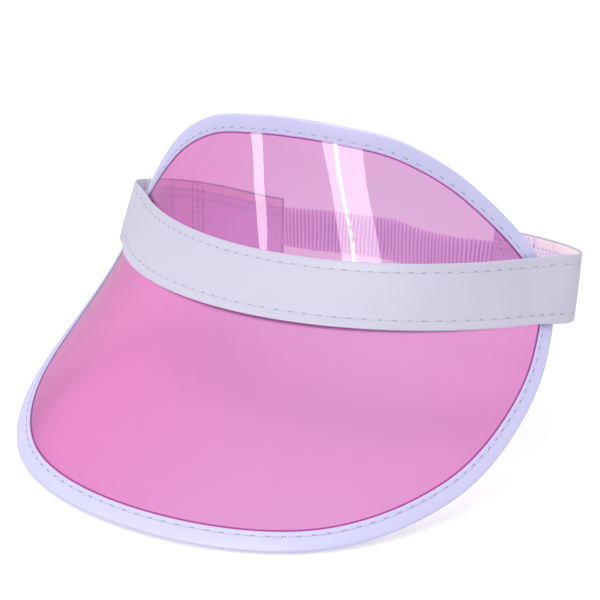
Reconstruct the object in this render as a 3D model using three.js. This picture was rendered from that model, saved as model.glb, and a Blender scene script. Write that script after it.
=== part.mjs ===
// Transparent sun visor with a bound edge, a vinyl headband and a shirred elastic back.
// Millimetres, +Z up as worn: the wearer looks along -Y. Names say left and right as seen from
// the front, looking at the brim: left is -X and right is +X.
// The origin is the centre of the head opening, halfway up the headband.

import * as THREE from 'three';
import { mergeVertices } from 'three/addons/utils/BufferGeometryUtils.js';

// ---------- driving dimensions ----------

// The clear sheet is one flat blank rolled into a flaring shell. Its flat pattern is measured
// across from the centre line and down from the shell's narrowest level.
const ROLL_RADIUS = 141; // the shell's radius at its narrowest level
const FLARE = 0.075; // how the radius grows over each 100 mm downwards
const FLARE_CURVE = 0.086; // and its growth with the square of the distance
const REACH = 100; // from the rolling axis to the front of the shell
const FRONT_SWEEP = 61; // how far the brim sweeps forward 100 mm down
const FRONT_DROOP = 27.4; // and how much of that the brim's droop takes back
const WORN_LEAN = THREE.MathUtils.degToRad(27.1); // turns the shell so that the headband is level
const HEAD_CENTRE = new THREE.Vector3(0, 58, -18.4); // moves the head opening's centre to the origin
const SHEET_THICKNESS = 0.5;

// Outer edge of the visor on the flat pattern, from the brim's tip to the top of the crown.
const HALF_OUTLINE = [
  [0, 136.2], [59.1, 126.8], [99.2, 99.2], [119.7, 69.1], [130.1, 34.8],
  [125.5, 0], [84.5, -30.7], [50.3, -42.2], [20.6, -44.1], [0, -44.4],
];
const FLAT_CENTRE = new THREE.Vector3(0, 45, 0);

const BINDING_WIDTH = 7.2; // the tape folded over the edge
const BINDING_POCKET = 0.6; // half of the slot that the sheet's edge sits in
const BINDING_FACE = 1; // half of the tape's thickness over both walls
const BINDING_FOLD = 0.6; // tape beyond the slot's end
const SHEET_INSET = 1; // from the tape's fold to the sheet's cut edge
const BINDING_STITCH_INSET = 5.4;

// The headband's top edge is level. Its bottom edge falls slightly towards the back.
const BAND_TOP = 15;
const BAND_BOTTOM_FRONT = -5.9;
const BAND_BOTTOM_FALL = 0.0919;
const BAND_BOTTOM_FRONT_Y = -66.5;
const FRONT_HALF_WIDTH = 122; // across the sheet, to where the band leaves it
const FRONT_TOP_SHARE = 0.9; // the band's upright lines lean in by this share
const FRONT_STATIONS = 8; // control points on each half of the front

// The band's line in plan beyond the front: round the fold at each side (the right one is given
// and the left one mirrors it), then along the back from right to left.
const FOLD = [
  { top: [108.8, 17.6], bottom: [113.8, 6.2] },
  { top: [116.2, 25.2], bottom: [118.2, 11.8] },
  { top: [116.6, 30.2], bottom: [118.9, 18.2] },
  { top: [111.6, 35], bottom: [114.4, 28.6] },
];
const BACK = [
  { name: 'right_hinge', top: [104.6, 38.8], bottom: [105.2, 37.8] },
  { name: 'right_seam', top: [91, 42.4], bottom: [91.2, 42.2] },
  { name: 'right_end', top: [73.6, 43.6], bottom: [73.6, 43.6] },
  { name: 'elastic', top: [55, 42.4], bottom: [55, 42.4] },
  { name: 'elastic', top: [37, 43], bottom: [37, 43] },
  { name: 'elastic', top: [18, 44.6], bottom: [18, 44.6] },
  { name: 'elastic', top: [-2, 42.8], bottom: [-2, 42.8] },
  { name: 'elastic', top: [-19, 39], bottom: [-19, 39] },
  { name: 'left_end', top: [-36, 36.2], bottom: [-36, 36.2] },
  { name: 'strap', top: [-54, 37.8], bottom: [-54, 37.8] },
  { name: 'strap', top: [-72, 40.6], bottom: [-72, 40.6] },
  { name: 'left_seam', top: [-90, 41.6], bottom: [-90.2, 41.4] },
  { name: 'left_hinge', top: [-104.6, 38.8], bottom: [-105.2, 37.8] },
];

// Faces are distances out from the band's line, which is the sheet's middle at the front.
const COVER = { faces: [1.8, 2.6], height: [0, 1] };
const SWEATBAND = { faces: [-3.2, -1.9], height: [0.03, 0.97] };
const SWEATBAND_SETBACK = 44; // from the cover's end to the sweatband's
const STRAP = { faces: [-0.4, 0.4], height: [0, 1] };
const FACING = { faces: [-1.4, -0.7], height: [0.04, 0.96] };
const SLEEVE = { faces: [-1.9, 0.9], height: [0.12, 0.88] };
const SLEEVE_WALL = 0.7;
const RUBBER = { faces: [-0.95, -0.05], height: [0.19, 0.81] };
const COVER_TO_STRAP = 20; // mm of band over which the cover's line drops to the strap's
const SEWN_GAP = 0.4; // between pieces that are sewn end to end
const HINGE_GAP = 0.8; // and between the headband's end and the strap that swings on it
const BAND_STEP = 4; // mm of band in one flat facet, the same in a strip and the thread on it

const THREAD_RADIUS = 0.18;
const THREAD_LIFT = 0.45; // from the face it is sewn on to the thread's middle
const BAND_STITCH_HEIGHTS = { bottom: 0.14, top: 0.86 };
const SEAM_ROW_SPACING = 3.2;
const SEAM_ROWS = 3;
const OVERLOCK_PITCH = 2.2;
const OVERLOCK_HEIGHTS = [0.68, 0.82];
const OVERLOCK_MARGIN = 3;
const ANCHOR_DEPTH = 7;

// ---------- colours ----------

const CLEAR_PINK = { color: 0xe79ad2, roughness: 0.06, metalness: 0, transparent: true, opacity: 0.6 };
const LAVENDER_TAPE = { color: 0xd9d6fa, roughness: 0.55, metalness: 0 };
const WHITE_VINYL = { color: 0xd9d7eb, roughness: 0.45, metalness: 0 };
const INNER_LINING = { color: 0xf2c6d6, roughness: 0.85, metalness: 0 };
const ELASTIC_PINK = { color: 0xe7a6e3, roughness: 0.8, metalness: 0 };
const RUBBER_WHITE = { color: 0xe9e2e6, roughness: 0.7, metalness: 0 };
const THREAD_WHITE = { color: 0xe6e3f4, roughness: 0.6, metalness: 0 };

// ---------- helpers ----------

const { lerp } = THREE.MathUtils;
const vec = (x, y, z) => new THREE.Vector3(x, y, z);
const ACROSS = vec(1, 0, 0);

function signedVolume(geometry) {
  const place = geometry.attributes.position;
  const index = geometry.index;
  const [a, b, c] = [vec(), vec(), vec()];
  let volume = 0;
  for (let i = 0; i < index.count; i += 3) {
    a.fromBufferAttribute(place, index.getX(i));
    b.fromBufferAttribute(place, index.getX(i + 1));
    c.fromBufferAttribute(place, index.getX(i + 2));
    volume += a.dot(b.cross(c)) / 6;
  }
  return volume;
}

// Joins a shape's seams, drops the faces that have no area and turns the rest outwards.
function closed(geometry) {
  geometry.deleteAttribute('normal');
  geometry.deleteAttribute('uv');
  const merged = mergeVertices(geometry, 1e-4);
  const faces = [];
  for (let i = 0; i < merged.index.count; i += 3) {
    const face = [0, 1, 2].map((k) => merged.index.getX(i + k));
    if (new Set(face).size === 3) faces.push(face);
  }
  merged.setIndex(faces.flat());
  if (signedVolume(merged) < 0) {
    merged.setIndex(faces.flatMap(([a, b, c]) => [b, a, c]));
  }
  merged.computeVertexNormals();
  return merged;
}

// Bends a straight shape: each of its points goes to place(x, y, z).
function bent(geometry, place) {
  const position = geometry.attributes.position;
  const point = vec();
  for (let i = 0; i < position.count; i += 1) {
    point.fromBufferAttribute(position, i);
    const to = place(point.x, point.y, point.z);
    position.setXYZ(i, to.x, to.y, to.z);
  }
  return closed(geometry);
}

// A path of straight runs, for thread that is laid from point to point. Its steps fall on its
// points, whatever the runs' lengths.
class LaidPath extends THREE.Curve {
  constructor(points) {
    super();
    this.points = points;
  }

  getUtoTmapping(share) {
    return share;
  }

  getPoint(t, target = vec()) {
    const runs = this.points.length - 1;
    const run = Math.min(Math.floor(t * runs), runs - 1);
    return target.lerpVectors(this.points[run], this.points[run + 1], t * runs - run);
  }
}

// Thread of four sides, laid through points.
function thread(points) {
  const section = new THREE.Shape(
    Array.from({ length: 4 }, (_, i) => {
      const angle = (i * Math.PI) / 2;
      return new THREE.Vector2(Math.cos(angle), Math.sin(angle)).multiplyScalar(THREAD_RADIUS);
    }),
  );
  const path = new LaidPath(points);
  const steps = points.length - 1;
  return closed(new THREE.ExtrudeGeometry(section, { steps, extrudePath: path, bevelEnabled: false }));
}

const visor = new THREE.Group();

function add(name, geometry, finish) {
  const mesh = new THREE.Mesh(geometry, new THREE.MeshStandardMaterial(finish));
  mesh.name = name;
  visor.add(mesh);
}

// ---------- the rolled shell ----------

function shellPoint(across, down) {
  const turn = across / ROLL_RADIUS;
  const d = down / 100;
  const flare = 1 + FLARE * d + FLARE_CURVE * d * d;
  const side = ROLL_RADIUS * Math.sin(turn) * flare;
  const back = (ROLL_RADIUS * (1 - Math.cos(turn)) - REACH) * flare;
  const sweep = FRONT_SWEEP * d * d - FRONT_DROOP * d * d * d;
  return vec(side, back - sweep, -down).applyAxisAngle(ACROSS, -WORN_LEAN).add(HEAD_CENTRE);
}

// A point of the shell, lifted off its middle surface along the true normal.
function visorPoint(across, down, out = 0) {
  const step = 0.5;
  const alongSide = shellPoint(across + step, down).sub(shellPoint(across - step, down));
  const alongDown = shellPoint(across, down + step).sub(shellPoint(across, down - step));
  const normal = alongDown.cross(alongSide).normalize();
  return shellPoint(across, down).addScaledVector(normal, out);
}

const mirrored = HALF_OUTLINE.slice(1, -1).reverse().map(([across, down]) => [-across, down]);
const outlinePoints = [...HALF_OUTLINE, ...mirrored];
const outline = new THREE.CatmullRomCurve3(
  outlinePoints.map(([across, down]) => vec(across, down, 0)),
  true,
);

// A point of the flat pattern, set in from its outer edge. turn runs once round the visor.
function edgePoint(turn, inset) {
  const along = outline.getTangent(turn);
  return outline.getPoint(turn).add(vec(along.y, -along.x, 0).multiplyScalar(inset));
}

// Lathed shapes turn about +Y, so their angle gives the place round the visor.
const turnOf = (x, z) => (Math.atan2(x, z) / (2 * Math.PI) + 1) % 1;

// ---------- the band's line ----------

const bandBottomAt = (y) => BAND_BOTTOM_FRONT - BAND_BOTTOM_FALL * (y - BAND_BOTTOM_FRONT_Y);

// How far down the pattern the shell passes through a level.
function downToLevel(across, levelAt) {
  let [low, high] = [-60, 90];
  while (high - low > 1e-6) {
    const middle = (low + high) / 2;
    const at = shellPoint(across, middle);
    if (at.z > levelAt(at.y)) low = middle;
    else high = middle;
  }
  return low;
}

function frontStation(across) {
  const topAcross = across * FRONT_TOP_SHARE;
  const topDown = downToLevel(topAcross, () => BAND_TOP);
  const bottomDown = downToLevel(across, bandBottomAt);
  return {
    bottom: visorPoint(across, bottomDown),
    middle: visorPoint((across + topAcross) / 2, (bottomDown + topDown) / 2),
    top: visorPoint(topAcross, topDown),
  };
}

function planStation({ name, top, bottom }) {
  const topAt = vec(...top, BAND_TOP);
  const bottomAt = vec(...bottom, bandBottomAt(bottom[1]));
  return { name, bottom: bottomAt, middle: topAt.clone().lerp(bottomAt, 0.5), top: topAt };
}

const mirrorX = ({ top, bottom }) => ({ top: [-top[0], top[1]], bottom: [-bottom[0], bottom[1]] });
const frontHalf = Array.from(
  { length: FRONT_STATIONS },
  (_, i) => (FRONT_HALF_WIDTH * (i + 1)) / FRONT_STATIONS,
);
const stations = [
  frontStation(0),
  ...frontHalf.map(frontStation),
  ...FOLD.map(planStation),
  ...BACK.map(planStation),
  ...FOLD.toReversed().map(mirrorX).map(planStation),
  ...frontHalf.toReversed().map((across) => frontStation(-across)),
];
const bandCurves = Object.fromEntries(
  ['bottom', 'middle', 'top'].map((edge) => [
    edge,
    new THREE.CatmullRomCurve3(stations.map((station) => station[edge]), true),
  ]),
);
const LENGTH_DIVISIONS = 4000;
const bandLengths = bandCurves.middle.getLengths(LENGTH_DIVISIONS);
const BAND_LENGTH = bandLengths[LENGTH_DIVISIONS];

// Millimetres round the band, counted from the middle of the front towards +X.
function millimetresAt(name) {
  const index = stations.findIndex((station) => station.name === name);
  return bandLengths[Math.round((index / stations.length) * LENGTH_DIVISIONS)];
}

function turnAt(millimetres) {
  const wanted = ((millimetres % BAND_LENGTH) + BAND_LENGTH) % BAND_LENGTH;
  let [low, high] = [0, LENGTH_DIVISIONS];
  while (high - low > 1) {
    const middle = Math.floor((low + high) / 2);
    if (bandLengths[middle] > wanted) high = middle;
    else low = middle;
  }
  const rest = (wanted - bandLengths[low]) / (bandLengths[high] - bandLengths[low]);
  return (low + rest) / LENGTH_DIVISIONS;
}

// A parabola through the band's bottom edge, middle and top edge.
function bandLine(millimetres, height) {
  const turn = turnAt(millimetres);
  return vec(0, 0, 0)
    .addScaledVector(bandCurves.bottom.getPoint(turn), (1 - height) * (1 - 2 * height))
    .addScaledVector(bandCurves.middle.getPoint(turn), 4 * height * (1 - height))
    .addScaledVector(bandCurves.top.getPoint(turn), height * (2 * height - 1));
}

function bandPoint(millimetres, height, out) {
  const along = bandLine(millimetres + 0.5, height).sub(bandLine(millimetres - 0.5, height));
  const upwards = bandLine(millimetres, height + 0.05).sub(bandLine(millimetres, height - 0.05));
  const outwards = along.cross(upwards).normalize();
  return bandLine(millimetres, height).addScaledVector(outwards, out);
}

const RIGHT_HINGE = millimetresAt('right_hinge');
const LEFT_HINGE = millimetresAt('left_hinge');
const RIGHT_SEAM = millimetresAt('right_seam');
const LEFT_SEAM = millimetresAt('left_seam');
const RIGHT_END = millimetresAt('right_end');
const LEFT_END = millimetresAt('left_end');

// The cover lies outside the sheet at the front and comes in to the strap's line at its ends.
function coverShift(millimetres) {
  const fromEnd = Math.min(RIGHT_HINGE - millimetres, millimetres + BAND_LENGTH - LEFT_HINGE);
  const outside = (COVER.faces[0] + COVER.faces[1]) / 2;
  return -outside * (1 - THREE.MathUtils.smoothstep(fromEnd, 0, COVER_TO_STRAP));
}

const facets = (from, to) => Math.ceil(Math.abs(to - from) / BAND_STEP);

function strip({ faces, height }, from, to, shift = () => 0) {
  const steps = facets(from, to);
  const rows = 3;
  return bent(new THREE.BoxGeometry(1, 1, 1, steps, rows, 1), (x, y, z) => {
    const at = lerp(from, to, x + 0.5);
    const out = lerp(faces[0], faces[1], z + 0.5) + shift(at);
    return bandPoint(at, lerp(height[0], height[1], y + 0.5), out);
  });
}

function bandThread(height, out, from, to, shift = () => 0) {
  const steps = facets(from, to);
  return thread(
    Array.from({ length: steps + 1 }, (_, i) => {
      const at = lerp(from, to, i / steps);
      return bandPoint(at, height, out + shift(at));
    }),
  );
}

// ---------- clear sheet and its bound edge ----------

const DISC_TURNS = 84;
const DISC_RINGS = 6;

// Lathed as a disc whose rings are spread from the middle to the tape, plus one ring under it.
function makeSheet() {
  const half = SHEET_THICKNESS / 2;
  const radii = Array.from({ length: DISC_RINGS + 2 }, (_, i) => i / DISC_RINGS);
  const under = radii.map((radius) => new THREE.Vector2(radius, -half));
  const over = radii.map((radius) => new THREE.Vector2(radius, half)).reverse();
  return bent(new THREE.LatheGeometry([...under, ...over], DISC_TURNS), (x, y, z) => {
    const radius = Math.hypot(x, z);
    const underTape = Math.max(0, radius - 1) * DISC_RINGS;
    const edge = edgePoint(turnOf(x, z), lerp(BINDING_WIDTH, SHEET_INSET, underTape));
    const flat = FLAT_CENTRE.clone().lerp(edge, Math.min(1, radius));
    return visorPoint(flat.x, flat.y, y);
  });
}

function makeBinding() {
  const rim = 100; // any radius larger than the tape's width
  const wall = [BINDING_POCKET, BINDING_FACE];
  const tape = [
    [BINDING_WIDTH, wall[0]], [BINDING_FOLD, wall[0]], [BINDING_FOLD, -wall[0]],
    [BINDING_WIDTH, -wall[0]], [BINDING_WIDTH, -wall[1]], [BINDING_FOLD, -wall[1]],
    [0, -wall[0]], [0, wall[0]], [BINDING_FOLD, wall[1]], [BINDING_WIDTH, wall[1]],
  ];
  tape.push(tape[0]);
  const profile = tape.map(([inset, out]) => new THREE.Vector2(rim - inset, out));
  return bent(new THREE.LatheGeometry(profile, DISC_TURNS), (x, y, z) => {
    const flat = edgePoint(turnOf(x, z), rim - Math.hypot(x, z));
    return visorPoint(flat.x, flat.y, y);
  });
}

// The thread starts and ends at the top of the crown, one facet apart.
function makeBindingThread(out) {
  return thread(
    Array.from({ length: DISC_TURNS }, (_, i) => {
      const turn = ((i + 0.5 + DISC_TURNS / 2) / DISC_TURNS) % 1;
      const flat = edgePoint(turn, BINDING_STITCH_INSET);
      return visorPoint(flat.x, flat.y, out);
    }),
  );
}

add('visor_sheet', makeSheet(), CLEAR_PINK);
add('edge_binding', makeBinding(), LAVENDER_TAPE);
add('binding_needle_thread', makeBindingThread(BINDING_FACE + THREAD_LIFT), THREAD_WHITE);
add('binding_bobbin_thread', makeBindingThread(-BINDING_FACE - THREAD_LIFT), THREAD_WHITE);

// ---------- headband front ----------

const coverEnds = [LEFT_HINGE - BAND_LENGTH + SEWN_GAP, RIGHT_HINGE - SEWN_GAP];
const sweatbandEnds = [coverEnds[0] + SWEATBAND_SETBACK, coverEnds[1] - SWEATBAND_SETBACK];
add('headband_cover', strip(COVER, ...coverEnds, coverShift), WHITE_VINYL);
add('sweatband', strip(SWEATBAND, ...sweatbandEnds), INNER_LINING);

for (const [row, height] of Object.entries(BAND_STITCH_HEIGHTS)) {
  const outside = COVER.faces[1] + THREAD_LIFT;
  const inside = SWEATBAND.faces[0] - THREAD_LIFT;
  const needle = bandThread(height, outside, ...coverEnds, coverShift);
  add(`band_${row}_needle_thread`, needle, THREAD_WHITE);
  add(`band_${row}_bobbin_thread`, bandThread(height, inside, ...sweatbandEnds), THREAD_WHITE);
}

// ---------- straps ----------

// Rows of stitches up and down across the strap, sewn in one pass.
function makeSeamThread(middle, out) {
  const reach = ((SEAM_ROWS - 1) / 2) * SEAM_ROW_SPACING;
  const heights = [0.1, 0.3, 0.5, 0.7, 0.9];
  const points = [];
  for (let row = 0; row < SEAM_ROWS; row += 1) {
    const at = middle - reach + row * SEAM_ROW_SPACING;
    const upDown = row % 2 ? heights.toReversed() : heights;
    points.push(...upDown.map((height) => bandPoint(at, height, out)));
  }
  return thread(points);
}

function makeOverlockThread(from, to, out) {
  const zigs = Math.floor(Math.abs(to - from) / (OVERLOCK_PITCH / 2));
  return thread(
    Array.from({ length: zigs + 1 }, (_, i) => (
      bandPoint(lerp(from, to, i / zigs), OVERLOCK_HEIGHTS[i % 2], out)
    )),
  );
}

// A V on its side that holds the elastic's end in the strap's.
function makeAnchorThread(end, inwards, out) {
  const depth = ANCHOR_DEPTH * inwards;
  const legs = [[1.2, 0.84], [depth * inwards, 0.52], [1.2, 0.2]];
  const points = [];
  const pieces = 4;
  for (let leg = 0; leg < 2; leg += 1) {
    for (let i = leg ? 1 : 0; i <= pieces; i += 1) {
      const along = lerp(legs[leg][0], legs[leg + 1][0], i / pieces);
      const height = lerp(legs[leg][1], legs[leg + 1][1], i / pieces);
      points.push(bandPoint(end + along * inwards, height, out));
    }
  }
  return thread(points);
}

function addStrap(side, hinge, seam, end) {
  const inwards = Math.sign(hinge - end); // from the strap's free end back to its hinge
  const insideThread = FACING.faces[0] - THREAD_LIFT;
  const outsideThread = STRAP.faces[1] + THREAD_LIFT;
  const ends = [hinge - inwards * HINGE_GAP, end + inwards * SEWN_GAP];
  const overlockEnds = [ends[0] - inwards * OVERLOCK_MARGIN, ends[1] + inwards * (ANCHOR_DEPTH + 2)];
  add(`${side}_strap`, strip(STRAP, ...ends), WHITE_VINYL);
  add(`${side}_strap_facing`, strip(FACING, ...ends), INNER_LINING);
  add(`${side}_overlock_thread`, makeOverlockThread(...overlockEnds, insideThread), THREAD_WHITE);
  add(`${side}_seam_thread`, makeSeamThread(seam, outsideThread), THREAD_WHITE);
  add(`${side}_anchor_thread`, makeAnchorThread(end, inwards, insideThread), THREAD_WHITE);
}

addStrap('right', RIGHT_HINGE, RIGHT_SEAM, RIGHT_END);
addStrap('left', LEFT_HINGE, LEFT_SEAM, LEFT_END);

// ---------- elastic back ----------

// The sleeve is a flat tube, open at both ends, with the rubber strip lying loose in it.
function makeSleeve(from, to) {
  const section = new THREE.Shape();
  section.moveTo(0, 0).lineTo(1, 0).lineTo(1, 1).lineTo(0, 1).closePath();
  const wallOut = SLEEVE_WALL / (SLEEVE.faces[1] - SLEEVE.faces[0]);
  const wallUp = 0.04;
  const hollow = new THREE.Path();
  hollow.moveTo(wallUp, wallOut).lineTo(wallUp, 1 - wallOut);
  hollow.lineTo(1 - wallUp, 1 - wallOut).lineTo(1 - wallUp, wallOut).closePath();
  section.holes.push(hollow);
  const steps = facets(from, to);
  const straight = new THREE.ExtrudeGeometry(section, { steps, depth: 1, bevelEnabled: false });
  return bent(straight, (x, y, z) => {
    const height = lerp(SLEEVE.height[0], SLEEVE.height[1], x);
    return bandPoint(lerp(from, to, z), height, lerp(SLEEVE.faces[0], SLEEVE.faces[1], y));
  });
}

const elasticEnds = [RIGHT_END + SEWN_GAP, LEFT_END - SEWN_GAP];
add('elastic_sleeve', makeSleeve(...elasticEnds), ELASTIC_PINK);
add('elastic_rubber', strip(RUBBER, ...elasticEnds), RUBBER_WHITE);

export default visor;
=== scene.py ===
# %% [markdown]
# # A clear pink sun visor
# The real object is one sheet of clear pink PVC, rolled into a brim and a crown. A folded tape
# binds its edge, a white vinyl headband is sewn across its front, and a gathered elastic closes
# the loop behind the head. The measured parts are loaded first, because everything here is a
# finer skin laid on them.

# %% Load the fixed frame
import math

import bmesh
import bpy
import numpy as np
from mathutils import Matrix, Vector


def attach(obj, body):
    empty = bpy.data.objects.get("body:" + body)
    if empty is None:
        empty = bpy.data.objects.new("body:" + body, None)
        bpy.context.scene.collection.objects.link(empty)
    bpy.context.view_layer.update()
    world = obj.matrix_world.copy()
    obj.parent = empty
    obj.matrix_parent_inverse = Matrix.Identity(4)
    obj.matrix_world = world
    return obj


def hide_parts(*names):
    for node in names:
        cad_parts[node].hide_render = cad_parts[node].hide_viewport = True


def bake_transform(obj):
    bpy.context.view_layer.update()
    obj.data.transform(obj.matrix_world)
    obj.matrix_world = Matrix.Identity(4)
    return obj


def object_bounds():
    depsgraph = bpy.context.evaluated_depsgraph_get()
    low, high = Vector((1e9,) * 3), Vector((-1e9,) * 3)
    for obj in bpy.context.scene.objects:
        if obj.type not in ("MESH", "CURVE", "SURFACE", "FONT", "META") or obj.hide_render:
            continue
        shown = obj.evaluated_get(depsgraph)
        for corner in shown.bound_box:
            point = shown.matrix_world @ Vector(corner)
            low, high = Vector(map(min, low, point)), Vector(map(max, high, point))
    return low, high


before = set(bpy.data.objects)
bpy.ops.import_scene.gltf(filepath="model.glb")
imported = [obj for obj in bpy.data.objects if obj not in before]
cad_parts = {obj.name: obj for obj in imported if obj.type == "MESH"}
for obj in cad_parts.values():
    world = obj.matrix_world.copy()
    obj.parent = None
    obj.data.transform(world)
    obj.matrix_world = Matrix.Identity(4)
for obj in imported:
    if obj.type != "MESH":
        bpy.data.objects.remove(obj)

MM = 0.001
cad_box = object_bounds()
print("nodes in the frame:", len(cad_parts))

# %% [markdown]
# ## The rolled sheet
# A flat blank is rolled into a flaring shell. Drawing the blank flat and rolling it by formula
# keeps every seam and edge at its true length, which pushing points about by hand wouldn't.

# %% Roll the flat pattern
ROLL_RADIUS = 141
FLARE, FLARE_CURVE = 0.075, 0.086
REACH = 100
FRONT_SWEEP, FRONT_DROOP = 61, 27.4
WORN_LEAN = math.radians(27.1)
HEAD_CENTRE = np.array([0, 58, -18.4])


def rolled(across, down):
    """The shell's middle surface, from millimetres across and down the flat pattern."""
    across, down = np.broadcast_arrays(np.asarray(across, float), np.asarray(down, float))
    turn, d = across / ROLL_RADIUS, down / 100
    flare = 1 + FLARE * d + FLARE_CURVE * d**2
    side = ROLL_RADIUS * np.sin(turn) * flare
    back = (ROLL_RADIUS * (1 - np.cos(turn)) - REACH) * flare
    back = back - FRONT_SWEEP * d**2 + FRONT_DROOP * d**3
    lean_cos, lean_sin = math.cos(WORN_LEAN), -math.sin(WORN_LEAN)
    y = back * lean_cos + down * lean_sin
    z = back * lean_sin - down * lean_cos
    return np.stack([side, y, z], -1) + HEAD_CENTRE


def unit(vectors):
    return vectors / np.maximum(np.linalg.norm(vectors, axis=-1, keepdims=True), 1e-12)


def sheet_face(across, down):
    """A point of the shell and its outward normal."""
    step = 0.5
    sideways = rolled(across + step, down) - rolled(across - step, down)
    downwards = rolled(across, down + step) - rolled(across, down - step)
    return rolled(across, down), unit(np.cross(downwards, sideways))


print("brim tip at", rolled(0, 136.2).round(1))

# %% [markdown]
# ## The outline
# The blank's edge is one smooth closed curve through a few points. A centripetal curve is used
# because it doesn't overshoot where the points are unevenly spaced.

# %% Draw the outline
HALF_OUTLINE = [
    (0, 136.2), (59.1, 126.8), (99.2, 99.2), (119.7, 69.1), (130.1, 34.8),
    (125.5, 0), (84.5, -30.7), (50.3, -42.2), (20.6, -44.1), (0, -44.4),
]


def closed_curve(points):
    """A centripetal curve through points: give it turns from 0 to 1."""
    knots = np.asarray(points, float)
    count = len(knots)

    def at(turn):
        place = (np.asarray(turn, float) % 1) * count
        first = np.floor(place).astype(int)
        t = (place - first)[..., None]
        p0, p1, p2, p3 = (knots[(first + k) % count] for k in (-1, 0, 1, 2))
        gaps = [
            np.sqrt(np.linalg.norm(b - a, axis=-1, keepdims=True))
            for a, b in ((p0, p1), (p1, p2), (p2, p3))
        ]
        d0, d1, d2 = gaps
        leave = ((p1 - p0) / d0 - (p2 - p0) / (d0 + d1) + (p2 - p1) / d1) * d1
        arrive = ((p2 - p1) / d1 - (p3 - p1) / (d1 + d2) + (p3 - p2) / d2) * d1
        bend = -3 * p1 + 3 * p2 - 2 * leave - arrive
        return p1 + leave * t + bend * t**2 + (2 * p1 - 2 * p2 + leave + arrive) * t**3

    return at


mirrored = [(-across, down) for across, down in HALF_OUTLINE[-2:0:-1]]
outline = closed_curve(HALF_OUTLINE + mirrored)


def set_in(turn, inset):
    """A point of the flat pattern, set in from its edge."""
    turn = np.asarray(turn, float)
    along = unit(outline(turn + 1e-4) - outline(turn - 1e-4))
    inwards = np.stack([along[..., 1], -along[..., 0]], -1)
    return outline(turn) + inwards * np.asarray(inset, float)[..., None]


def tape_face(side):
    """The tape's face on one side of the sheet: give it turns and insets."""

    def at(turn, inset):
        flat = set_in(turn, inset)
        point, normal = sheet_face(flat[..., 0], flat[..., 1])
        return point + normal * side * TAPE_OUT, normal * side

    return at


EDGE_STEPS = 960
edge_turns = np.arange(EDGE_STEPS + 1) / EDGE_STEPS
edge_line = sheet_face(*np.moveaxis(outline(edge_turns), -1, 0))[0]
edge_run = np.append(0, np.linalg.norm(np.diff(edge_line, axis=0), axis=1).cumsum())
print("edge of the visor:", round(edge_run[-1]), "mm round")

# %% [markdown]
# ## The band's line
# The headband follows the sheet at the front, turns round a fold at each side and comes back
# as straps and elastic. One closed line carries all of them, so every strip on it meets the next.

# %% Lay the band's line
BAND_TOP = 15
BAND_BOTTOM_FRONT, BAND_BOTTOM_FALL, BAND_BOTTOM_FRONT_Y = -5.9, 0.0919, -66.5
FRONT_HALF_WIDTH, FRONT_TOP_SHARE, FRONT_STATIONS = 122, 0.9, 8
FOLD = [
    ((108.8, 17.6), (113.8, 6.2)),
    ((116.2, 25.2), (118.2, 11.8)),
    ((116.6, 30.2), (118.9, 18.2)),
    ((111.6, 35), (114.4, 28.6)),
]
BACK = [
    ((104.6, 38.8), (105.2, 37.8)), ((91, 42.4), (91.2, 42.2)), ((73.6, 43.6), (73.6, 43.6)),
    ((55, 42.4), (55, 42.4)), ((37, 43), (37, 43)), ((18, 44.6), (18, 44.6)),
    ((-2, 42.8), (-2, 42.8)), ((-19, 39), (-19, 39)), ((-36, 36.2), (-36, 36.2)),
    ((-54, 37.8), (-54, 37.8)), ((-72, 40.6), (-72, 40.6)),
    ((-90, 41.6), (-90.2, 41.4)), ((-104.6, 38.8), (-105.2, 37.8)),
]
NAMED_BACK = {"right_hinge": 0, "right_seam": 1, "right_end": 2,
              "left_end": 8, "left_seam": 11, "left_hinge": 12}


def band_bottom(y):
    return BAND_BOTTOM_FRONT - BAND_BOTTOM_FALL * (y - BAND_BOTTOM_FRONT_Y)


def down_to(across, level):
    """How far down the pattern the shell passes through a level."""
    low, high = -60.0, 90.0
    while high - low > 1e-6:
        middle = (low + high) / 2
        at = rolled(across, middle)
        if at[2] > level(at[1]):
            low = middle
        else:
            high = middle
    return low


def front_station(across):
    top_across = across * FRONT_TOP_SHARE
    top = down_to(top_across, lambda y: BAND_TOP)
    bottom = down_to(across, band_bottom)
    middle = rolled((across + top_across) / 2, (bottom + top) / 2)
    return rolled(across, bottom), middle, rolled(top_across, top)


def plan_station(top, bottom):
    top_at = np.array([*top, BAND_TOP])
    bottom_at = np.array([*bottom, band_bottom(bottom[1])])
    return bottom_at, (top_at + bottom_at) / 2, top_at


front = [FRONT_HALF_WIDTH * (i + 1) / FRONT_STATIONS for i in range(FRONT_STATIONS)]
left_fold = [tuple((-x, y) for x, y in pair) for pair in FOLD[::-1]]
stations = [front_station(0)] + [front_station(across) for across in front]
stations += [plan_station(*pair) for pair in FOLD + BACK + left_fold]
stations += [front_station(-across) for across in front[::-1]]
low_line, mid_line, top_line = (closed_curve([s[k] for s in stations]) for k in range(3))

DIVISIONS = 4000
band_turns = np.arange(DIVISIONS + 1) / DIVISIONS
band_run = np.append(0, np.linalg.norm(np.diff(mid_line(band_turns), axis=0), axis=1).cumsum())
BAND_LENGTH = band_run[-1]


def place_of(name):
    station = 1 + FRONT_STATIONS + len(FOLD) + NAMED_BACK[name]
    return band_run[round(station / len(stations) * DIVISIONS)]


def band_line(along, height):
    turn = np.interp(np.asarray(along, float) % BAND_LENGTH, band_run, band_turns)
    height = np.asarray(height, float)[..., None]
    return (
        low_line(turn) * (1 - height) * (1 - 2 * height)
        + mid_line(turn) * 4 * height * (1 - height)
        + top_line(turn) * height * (2 * height - 1)
    )


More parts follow.
